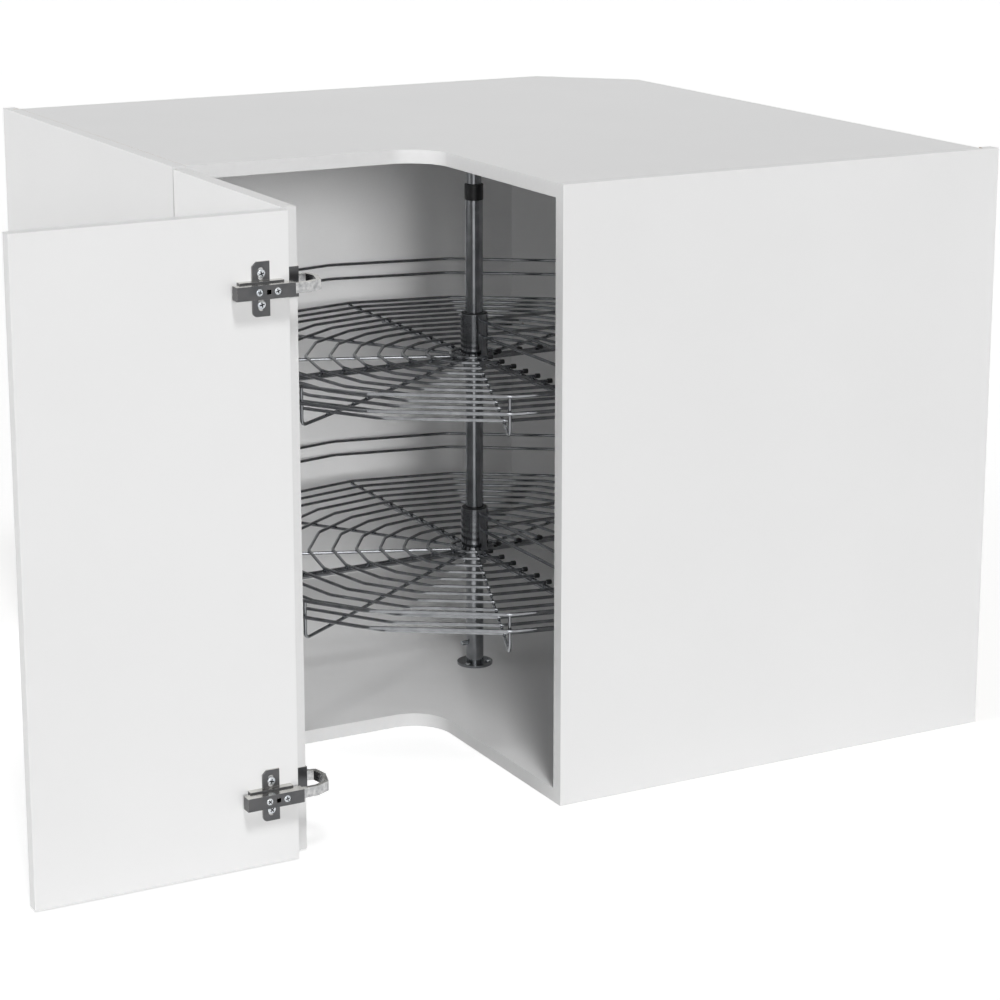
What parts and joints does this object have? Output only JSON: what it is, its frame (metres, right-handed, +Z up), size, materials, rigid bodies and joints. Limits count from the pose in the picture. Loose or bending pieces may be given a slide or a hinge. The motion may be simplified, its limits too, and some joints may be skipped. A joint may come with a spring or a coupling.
{
  "type": "corner carousel cabinet",
  "caption": "L-shaped corner base cabinet with round wire carousel shelves that turn on a pole and a folding two-leaf door, shown open.",
  "frame": {"origin": "the pole's axis at the underside of the bottom panel", "axes": "+X along the back wall towards the room's corner, +Y towards the back wall, +Z up"},
  "size_m": [1.198, 0.921, 0.704],
  "materials": {
    "white_melamine_board": "satin white melamine on chipboard, white edge band",
    "white_hardboard": "satin white lacquered hardboard",
    "beech_dowel": "raw fluted beech",
    "black_plastic": "moulded satin black",
    "zinc_alloy": "die-cast zinc alloy",
    "zinc_plated_screw": "bright zinc-plated steel",
    "nickel_plated_steel": "bright nickel plate on pressed steel",
    "chrome_plated_steel": "bright chrome plate on steel wire and tube"
  },
  "bodies": {
    "carcass": {"bottom_panel": "white_melamine_board", "top_panel": "white_melamine_board", "left_side_panel": "white_melamine_board", "right_side_panel": "white_melamine_board", "left_back_panel": "white_hardboard", "right_back_panel": "white_hardboard", "corner_back_panel": "white_melamine_board", "carcass_dowels": "beech_dowel", "cam_bolts": "zinc_plated_screw", "cam_housings": "zinc_alloy", "back_panel_screws": "zinc_plated_screw", "base_flange": "chrome_plated_steel", "top_flange": "chrome_plated_steel", "flange_screws": "zinc_plated_screw", "lower_pole_tube": "chrome_plated_steel", "upper_pole_tube": "chrome_plated_steel", "pole_collar": "black_plastic", "pole_lock_screw": "zinc_plated_screw", "shelf_carrier_rings": "chrome_plated_steel", "carrier_ring_screws": "zinc_plated_screw", "side_hinge_plates": "nickel_plated_steel", "side_hinge_plate_screws": "zinc_plated_screw", "side_hinge_arms": "nickel_plated_steel", "side_hinge_cams": "nickel_plated_steel", "side_hinge_pins": "nickel_plated_steel"},
    "leaf_1": {"door_leaf_1": "white_melamine_board", "side_hinge_cups": "nickel_plated_steel", "side_hinge_cup_screws": "zinc_plated_screw", "fold_hinge_cups": "nickel_plated_steel", "fold_hinge_cup_screws": "zinc_plated_screw"},
    "side_links": {"side_hinge_links": "nickel_plated_steel"},
    "leaf_2": {"door_leaf_2": "white_melamine_board", "fold_hinge_plates": "nickel_plated_steel", "fold_hinge_plate_screws": "zinc_plated_screw", "fold_hinge_arms": "nickel_plated_steel", "fold_hinge_cams": "nickel_plated_steel", "fold_hinge_pins": "nickel_plated_steel"},
    "fold_links": {"fold_hinge_links": "nickel_plated_steel"},
    "lower_shelf": {"lower_shelf_hub_sleeve": "chrome_plated_steel", "lower_shelf_top_bush": "black_plastic", "lower_shelf_bottom_bush": "black_plastic", "lower_shelf_floor_rings": "chrome_plated_steel", "lower_shelf_arms": "chrome_plated_steel", "lower_shelf_spokes": "chrome_plated_steel", "lower_shelf_top_rail": "chrome_plated_steel", "lower_shelf_low_rail": "chrome_plated_steel", "lower_shelf_wire_caps": "black_plastic"},
    "upper_shelf": {"upper_shelf_hub_sleeve": "chrome_plated_steel", "upper_shelf_top_bush": "black_plastic", "upper_shelf_bottom_bush": "black_plastic", "upper_shelf_floor_rings": "chrome_plated_steel", "upper_shelf_arms": "chrome_plated_steel", "upper_shelf_spokes": "chrome_plated_steel", "upper_shelf_top_rail": "chrome_plated_steel", "upper_shelf_low_rail": "chrome_plated_steel", "upper_shelf_wire_caps": "black_plastic"}
  },
  "joints": [
    {"name": "door_swing", "type": "hinge", "parent": "carcass", "child": "leaf_1", "pos_m": [-0.439, -0.138, 0.352], "axis": [0, 0, -1], "range_deg": [-35, 75]},
    {"name": "side_link_turn", "type": "hinge", "parent": "carcass", "child": "side_links", "pos_m": [-0.419, -0.124, 0.352], "axis": [0, 0, -1], "range_deg": [-17.5, 37.5]},
    {"name": "leaf_fold", "type": "hinge", "parent": "leaf_1", "child": "leaf_2", "pos_m": [-0.448, -0.429, 0.352], "axis": [0, 0, 1], "range_deg": [0, 60]},
    {"name": "fold_link_turn", "type": "hinge", "parent": "leaf_2", "child": "fold_links", "pos_m": [-0.453, -0.458, 0.352], "axis": [0, 0, 1], "range_deg": [-30, 0]},
    {"name": "lower_shelf_spin", "type": "hinge", "parent": "carcass", "child": "lower_shelf", "pos_m": [0, 0, 0.172], "axis": [0, 0, 1], "continuous": true},
    {"name": "upper_shelf_spin", "type": "hinge", "parent": "carcass", "child": "upper_shelf", "pos_m": [0, 0, 0.422], "axis": [0, 0, 1], "continuous": true}
  ],
  "couplings": [
    {"joint": "side_link_turn", "follows": "door_swing", "ratio": 0.5},
    {"joint": "fold_link_turn", "follows": "leaf_fold", "ratio": -0.5}
  ]
}
